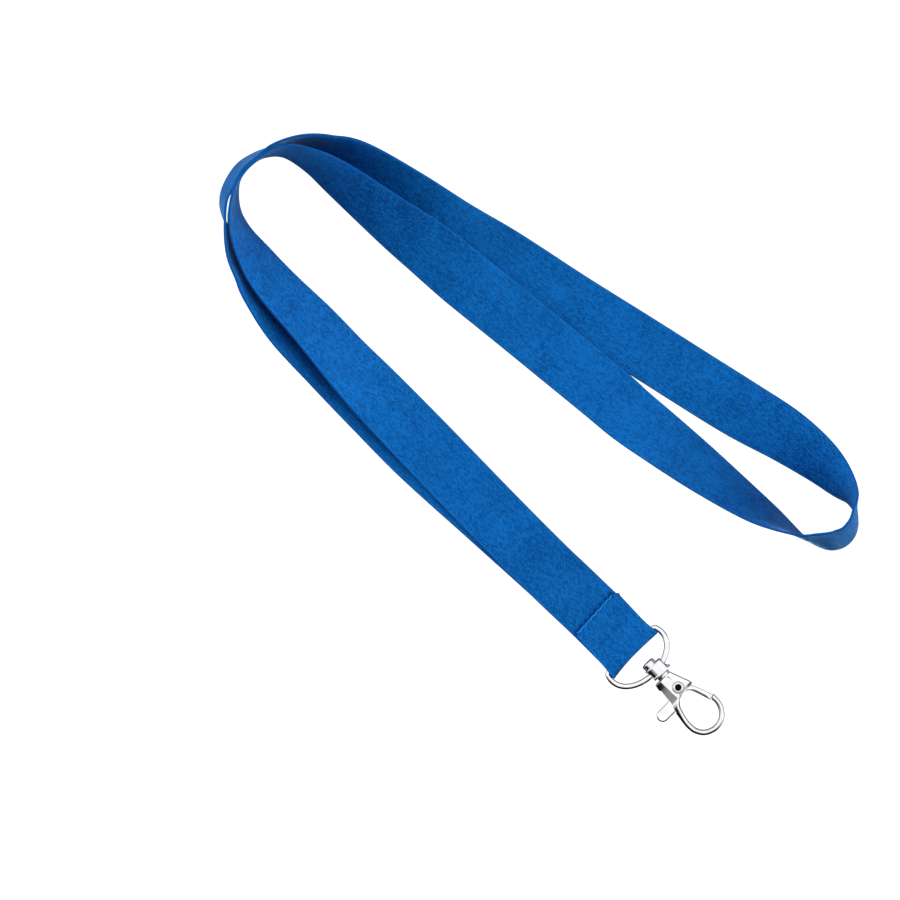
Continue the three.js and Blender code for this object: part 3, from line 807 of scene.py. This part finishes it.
def make_eye(nickel):
    """The swivel eye: an oval bell with a cross hole for the ring, a knob on top and a peened stem."""
    bell = rounded_profile([(0.01, -2.25), (3.45, -2.25), (3.75, -1.7), (3.8, 1.2), (4.02, 1.45),
                            (4.0, 2.1), (0.01, 2.1)], 0.3)
    knob = rounded_profile([(0.01, -4.05), (2.05, -4.05), (2.35, -3.7), (2.3, -2.0), (0.01, -2.0)], 0.22)
    stem = rounded_profile([(0.01, 1.5), (0.85, 1.5), (0.85, 4.45), (1.4, 4.45), (1.35, 5.1),
                            (0.01, 5.25)], 0.15)
    body = turned_mesh("swivel_eye_casting", bell, sides=96, squash=0.8)
    top = turned_mesh("knob", knob, offset=-0.9)
    pin = turned_mesh("stem", stem, sides=48)
    x = np.linspace(-5, 5, 25)
    radius = 1.12 + 0.42 * np.clip(np.abs(x) - 1.2, 0, None) ** 1.2  # wider towards its two mouths
    angle = full_turn(40)
    y = radius[:, None] * np.cos(angle)
    rings = np.stack([np.broadcast_to(x[:, None], y.shape), y, radius[:, None] * np.sin(angle)], -1)
    hole = loft_mesh("hole", rings, HOOK_FRAME @ Matrix.Rotation(WIRE_SLOPE, 4, "Z"))
    joined = boolean(body, "UNION", [top, pin])
    casting = boolean(joined, "DIFFERENCE", [hole])
    piece = link("swivel_eye_casting", casting, nickel, sharp_degrees=32)
    weight_normals(piece)
    return piece


PROFILE_STEPS = 7  # points at each corner of the hook body's section
FRONT_STEPS = 12  # further points across its front face


def body_section(width, half, left_width, left_drop, right):
    """The body's own section as points of x from its left side and z: a broad bevel at the front left."""
    corners = [(0, half - left_drop, 0.35), (left_width, half, 0.25), (width - right, half, 0.12),
               (width, half - right, 0.12), (width, right - half, 0.12), (width - right, -half, 0.12),
               (0.5, -half, 0.2), (0, 0.5 - half, 0.2)]
    out = []
    for n, (x, z, radius) in enumerate(corners):
        before = np.array(corners[n - 1][:2])
        after = np.array(corners[(n + 1) % len(corners)][:2])
        out += rounded_corner(before, np.array([x, z]), after, radius, 0.4, PROFILE_STEPS)
        if n == 1:  # the front face begins here
            x, z = out[-1]
            start = np.array([min(x + 0.05, after[0]), z])
            stop = np.array([max(after[0] - 0.25, start[0]), after[1]])
            for f in np.linspace(0, 1, FRONT_STEPS + 2)[1:-1]:
                out.append(start * (1 - f) + stop * f)
    return np.array(out)


def round_section(width, half):
    """An oval of the same count of points, started and spaced to match the body's section."""
    spans = [(0, 0.06), (0.10, 0.18), (0.2, 0.30), (0.32, 0.38), (0.40, 0.48), (0.52, 0.60), (0.62, 0.70),
             (0.80, 0.88), (0.90, 0.97)]  # one for each corner, and the third for the front face
    shares = np.concatenate([np.linspace(*span, FRONT_STEPS if n == 2 else PROFILE_STEPS)
                             for n, span in enumerate(spans)])
    angle = math.pi - 2 * math.pi * shares
    return np.stack([width / 2 * (1 + np.cos(angle)), half * np.sin(angle)], -1)


def section_ring(left, right, half, roundness, bevel):
    """One ring of the hook body between two plan points, each x and distance down, with its half depth."""
    left, right = np.array(left, float), np.array(right, float)
    width = np.linalg.norm(right - left)
    section = round_section(width, half)
    if roundness < 1:
        limits = (0.55 * width, 0.7 * half, 0.3 * width)
        cut = body_section(width, half, *(min(b, limit) for b, limit in zip(bevel, limits)))
        section = roundness * section + (1 - roundness) * cut
    plan = left + (right - left) * (section[:, :1] / width)
    return np.stack([plan[:, 0], -plan[:, 1], section[:, 1]], -1)


# Plan of the cast hook: left and right end of each section as x and distance down, half depth, how round
# it is, and the bevels: width and drop at the front left, and width at the right.
BODY_SECTIONS = [
    ((-4.40, 3.55), (2.35, 3.55), 2.20, 0.0, (2.2, 1.25, 0.30)),
    ((-4.62, 5.3), (2.95, 5.3), 2.20, 0.0, (2.4, 1.25, 0.30)),
    ((-4.95, 7.6), (3.80, 7.6), 2.20, 0.0, (2.8, 1.25, 0.30)),
    ((-5.25, 9.6), (4.55, 9.6), 2.20, 0.0, (3.2, 1.25, 0.30)),
    ((-5.40, 10.7), (4.95, 10.75), 2.20, 0.0, (3.45, 1.25, 0.32)),
    ((-5.48, 11.2), (4.95, 11.25), 2.20, 0.0, (3.5, 1.25, 0.5)),
    ((-5.52, 11.5), (4.45, 11.5), 2.20, 0.0, (3.5, 1.25, 0.75)),
    ((-5.56, 11.75), (3.0, 11.45), 2.20, 0.0, (3.4, 1.25, 0.85)),
    ((-5.62, 12.1), (1.1, 11.5), 2.20, 0.0, (3.2, 1.2, 0.9)),
    ((-5.70, 12.6), (-0.7, 11.85), 2.20, 0.05, (2.6, 1.2, 0.9)),
    ((-5.82, 13.3), (-2.15, 12.6), 2.15, 0.12, (1.9, 1.1, 0.85)),
    ((-5.98, 14.2), (-3.2, 13.8), 2.05, 0.25, (1.4, 1.0, 0.75)),
    ((-6.18, 15.4), (-3.85, 15.3), 1.9, 0.45, (1.1, 0.9, 0.6)),
    ((-6.42, 17.0), (-4.35, 17.0), 1.7, 0.75, (0.9, 0.8, 0.4)),
    ((-6.72, 18.9), (-4.74, 18.8), 1.5, 1.0, (0.8, 0.7, 0.4)),
]
HOOK_COURSE = [(-5.85, 20.7), (-5.55, 23.2), (-4.0, 25.75), (-1.6, 27.1), (0.9, 27.4), (3.5, 26.55),
               (5.5, 24.4), (6.45, 21.9)]
NOSE = ((7.40, 18.85), (5.50, 19.92))  # its outer and inner corner, on an arc about the gate's pivot
ROUND_WIRE = (1.0, (0.8, 0.7, 0.4))  # how round the hook's own sections are, and their bevels
LOWER_EDGE = [(6.2, 10.9), (5.0, 11.2), (4.4, 11.45), (3.0, 11.45), (1.1, 11.5), (-0.7, 11.85),
              (-2.15, 12.6), (-3.2, 13.8)]  # of the body, where the hook's opening begins


def hook_sections():
    """Control sections from the neck down the body and round the hook to its nose."""
    sections = list(BODY_SECTIONS)
    course = np.array(HOOK_COURSE)
    ahead = unit(np.gradient(course, axis=0))
    for n, (point, way) in enumerate(zip(course, ahead)):
        inward = np.array([way[1], -way[0]])
        half_width = 1.0 - 0.1 * n / (len(course) - 1)
        sections.append([point - inward * half_width, point + inward * half_width, 1.32, *ROUND_WIRE])
    sections.append([*NOSE, 1.3, *ROUND_WIRE])
    return sections


def groove_front(rings):
    """Sinks a short shallow groove into the front face, from the neck towards the rivet."""
    x, y, z = rings[..., 0], rings[..., 1], rings[..., 2]
    depth = 0.22 * np.exp(-((x - 0.4) / 0.42) ** 2) * smooth((-3.9 - y) / 0.5) * smooth((y + 7.0) / 1.5)
    rings[..., 2] -= np.where(z > 2.0, depth, 0)


def bevel_lower_edge(rings):
    """Slopes the front and back faces off towards the lower edge of the body."""
    edge = spline(LOWER_EDGE, np.linspace(0, len(LOWER_EDGE) - 1, 200))
    x, down = rings[..., 0], -rings[..., 1]
    distance = np.hypot(x[..., None] - edge[:, 0], down[..., None] - edge[:, 1]).min(axis=-1)
    width = 0.95 * smooth((x + 2.6) / 1.5) * smooth((5.2 - x) / 0.8)
    rings[..., 2] *= 1 - np.clip(width - distance, 0, None) / 2.2


def make_hook_body(nickel):
    """The cast collar, bevelled body and open hook, in one surface from the collar to the nose."""
    sections = hook_sections()
    numbers = np.array([[*s[0], *s[1], s[2], s[3], *s[4]] for s in sections])
    t = np.linspace(0, len(sections) - 1, 12 * (len(sections) - 1) + 1)
    rows = blended_rows(numbers, t)
    collar = [(1.9, 2.35), (2.36, 2.35), (2.36, 3.05), (2.1, 3.2), (2.1, 3.35)]
    rings = [section_ring((-radius, down), (radius, down), radius, 1.0, (0, 0, 0))
             for radius, down in rounded_profile(collar, 0.2, 6)]
    first = rows[0]
    for shrink, down in ((0.35, 3.36), (0.14, 3.40), (0.03, 3.47)):  # the body's top edge is eased
        left = (first[0] + shrink, down)
        right = (first[2] - shrink, down)
        rings.append(section_ring(left, right, first[4] - shrink, 0.0, first[6:9]))
    for row in rows:
        roundness = min(max(row[5], 0.0), 1.0)
        rings.append(section_ring(row[0:2], row[2:4], row[4], roundness, row[6:9]))
    for inset in (0.12, 0.3):  # and so is the nose's end
        end = rings[-1]
        centre = end.mean(axis=0)
        towards = np.array([-0.05, 1.0, 0]) * inset * 0.3
        rings.append(centre + (end - centre) * (1 - inset) + towards)
    rings = np.array(rings)
    groove_front(rings)
    bevel_lower_edge(rings)
    body = loft_mesh("hook_casting", rings, HOOK_FRAME)

    slot = box_mesh("slot", (-9, 9), (5.75, 14.6), (-1.2, 1.2))
    bore = turned_mesh("bore", [(1.05, 2), (1.05, 4.4)], sides=40)
    cavity = box_mesh("cavity", (-1.75, 1.75), (4.2, 6.1), (-1.7, 1.7))
    rivet_hole = pivot_mesh("rivet_hole", [(1.4, -3), (1.4, 1.7), (2.05, 1.75), (2.05, 3)], sides=48)
    casting = boolean(body, "DIFFERENCE", [slot, bore, cavity, rivet_hole])
    piece = link("hook_casting", casting, nickel, sharp_degrees=38)
    weight_normals(piece)
    return piece


def blended_rows(rows, t):
    """Each row blends into the next by a curve in its first four numbers and evenly in the others."""
    path = spline(rows[:, :4], t)
    i = np.minimum(np.floor(t).astype(int), len(rows) - 2)
    f = (t - i)[:, None]
    rest = rows[i, 4:] * (1 - f) + rows[i + 1, 4:] * f
    return np.concatenate([path, rest], axis=1)


def arc_points(centre, radius, start, stop, count):
    """Plan points of x and distance down, between two angles that turn from +X towards the neck."""
    a = np.radians(np.linspace(start, stop, count))
    return [(centre[0] + radius * math.cos(v), centre[1] - radius * math.sin(v)) for v in a]


def softened(outline, step):
    """The closed outline with points at even steps and its corners eased."""
    closed = np.array([*outline, outline[0]], float)
    run = run_along(closed)
    even = np.arange(0, run[-1] - step / 2, step)
    points = np.stack([np.interp(even, run, c) for c in closed.T], -1)
    for _ in range(2):
        points = points / 2 + (np.roll(points, 1, axis=0) + np.roll(points, -1, axis=0)) / 4
    return points


def make_lever(nickel):
    """Thumb tab, hub and gate finger in one piece, turning in the body's slot."""
    outline = [(-5.0, 10.15), (-1.95, 8.0)]
    outline += arc_points(PIVOT, 2.6, 158, 0, 24)
    outline += [(4.05, 11.6), (4.85, 12.9), (5.6, 15.0), (7.02, 18.95), (6.2, 19.35), (5.15, 19.62)]
    outline += [(3.9, 15.6), (3.1, 13.3), (2.3, 12.1), (0.5, 11.7), (-2.1, 12.2), (-4.2, 13.8), (-5.4, 14.25)]
    outline += arc_points((-9.75, 12.2), 2.05, 270, 90, 22)
    plan = softened(outline, 0.3)
    before, after = np.roll(plan, 1, axis=0), np.roll(plan, -1, axis=0)
    inward = unit(np.stack([before[:, 1] - after[:, 1], after[:, 0] - before[:, 0]], -1))
    if np.sum(inward * (plan.mean(axis=0) - plan)) < 0:
        inward = -inward
    x, down = plan.T
    on_finger = smooth((x - 2.4) / 1.2) * smooth((0.46 * (down - 11.6) + 3.3 - x) / 0.5)
    on_finger *= smooth((19.2 - down) / 1.6)
    on_tab = smooth((-4.5 - x) / 1.5)
    rounding_in_plan = (0.42 + 0.72 * on_finger + 0.22 * on_tab)[:, None]
    rounding_in_depth = (0.42 + 0.42 * on_finger + 0.22 * on_tab)[:, None]
    half_depth = 0.9
    rings = []
    for side, start, stop in ((-1, -90, 0), (1, 0, 90)):
        for angle in np.radians(np.linspace(start, stop, 8)):
            at = plan + inward * rounding_in_plan * (1 - math.cos(angle))
            z = side * half_depth - rounding_in_depth * (side - math.sin(angle))
            rings.append(np.concatenate([at[:, :1], -at[:, 1:], z], axis=1))
    rounded = loft_mesh("gate_casting", rings, HOOK_FRAME)
    pocket = pivot_mesh("pocket", [(3.1, -0.3), (3.1, 2)], sides=48)
    hole = pivot_mesh("hole", [(1.4, -2), (1.4, 2)], sides=48)
    casting = boolean(rounded, "DIFFERENCE", [pocket, hole])
    piece = link("gate_casting", casting, nickel, sharp_degrees=38)
    weight_normals(piece)
    return piece


def make_rivet(nickel):
    """A semi-tubular rivet: domed head at the back, rolled rim and hollow end at the front."""
    face = 2.3
    rim = face + 0.25
    profile = rounded_profile([(0.01, -rim), (1.55, -rim), (1.75, -face), (1.3, -face), (1.3, 1.8),
                               (1.72, 1.8), (1.72, rim - 0.2), (1.45, rim), (1.15, rim - 0.03),
                               (0.98, rim - 0.3), (0.95, rim - 2.6), (0.01, rim - 2.6)], 0.12)
    return link("rivet_tube", pivot_mesh("rivet_tube", profile), nickel)


def make_spring(steel):
    """The gate's torsion spring: not quite two turns of wire in the lever's pocket, with a leg each way."""
    wire_radius = 0.2
    radius, depth, turns = 1.75, 0.86, 1.75
    share = np.linspace(0, 1, 150)
    a = math.pi * 0.75 + 2 * math.pi * turns * share
    coil = np.stack([radius * np.cos(a), radius * np.sin(a), depth * share], -1)
    first_leg = np.linspace([-2.7, 0.9, 0], coil[0], 8)[:-1]
    last_leg = np.linspace(coil[-1], [1.2, 2.5, depth], 8)[1:]
    path = np.concatenate([first_leg, coil, last_leg])
    along = unit(np.gradient(path, axis=0))
    side = unit(np.stack([-along[:, 1], along[:, 0], np.zeros(len(path))], -1))
    up = np.cross(along, side)
    rings = tube_rings(path, side, up, wire_radius, full_turn(12))
    place = HOOK_FRAME @ Matrix.Translation((PIVOT[0], -PIVOT[1], 0))
    return link("spring_wire", loft_mesh("spring_wire", rings, place), steel)


# ------------------------ the scene

def place(piece, body, node, slot):
    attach(piece, body)
    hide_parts(node)


bpy.context.scene.view_settings.view_transform = "Standard"
make_camera()
make_sun("key", 1.7, 50, 40, -110)
make_sun("rim_beyond", 4.9, 20, 82, 30)
make_sun("rim_near", 2.6, 20, 82, -125)
make_sun("rim_left", 1.7, 30, 80, 130)
make_world()
make_floor()

webbing, cut_length = make_webbing()
place(webbing, "strap", "webbing_strap", "webbing")

thread = thread_material()
needle_row = stitches("needle_stitches", surface=FLAP_TOP - 0.10, dip=0.62, sign=1, radius=0.26)
place(link("needle_stitches", needle_row, thread), "strap", "top_thread", "thread")
lower_row = stitches("bobbin_stitches", surface=0.2, dip=0.25, sign=-1, radius=0.17)
place(link("bobbin_stitches", lower_row, thread), "strap", "bobbin_thread", "thread")

bright = (0.93, 0.925, 0.92)
place(make_ring(nickel_material("ring_nickel", bright, 0.07)), "ring", "d_ring", "ring_plating")
place(make_eye(nickel_material("eye_nickel", bright, 0.08)), "eye", "swivel_eye", "hook_plating")
# Painted shade in the groove round the rivet's head, on the hook's plate.
hook_nickel = nickel_material("hook_nickel", bright, 0.08, shade_band=(1.90, 2.06))
place(make_hook_body(hook_nickel), "hook", "hook_body", "hook_plating")
lever_nickel = nickel_material("lever_nickel", (0.95, 0.945, 0.94), 0.07)
place(make_lever(lever_nickel), "gate", "gate_lever", "lever_plating")
# Painted shade in the rivet's hollow bore.
rivet_nickel = nickel_material("rivet_nickel", bright, 0.09, shade_band=(-1.0, 0.94))
place(make_rivet(rivet_nickel), "hook", "gate_rivet", "rivet_plating")
wire_steel = nickel_material("spring_wire_steel", (0.62, 0.62, 0.63), 0.22)
place(make_spring(wire_steel), "gate", "gate_spring", "spring_steel")
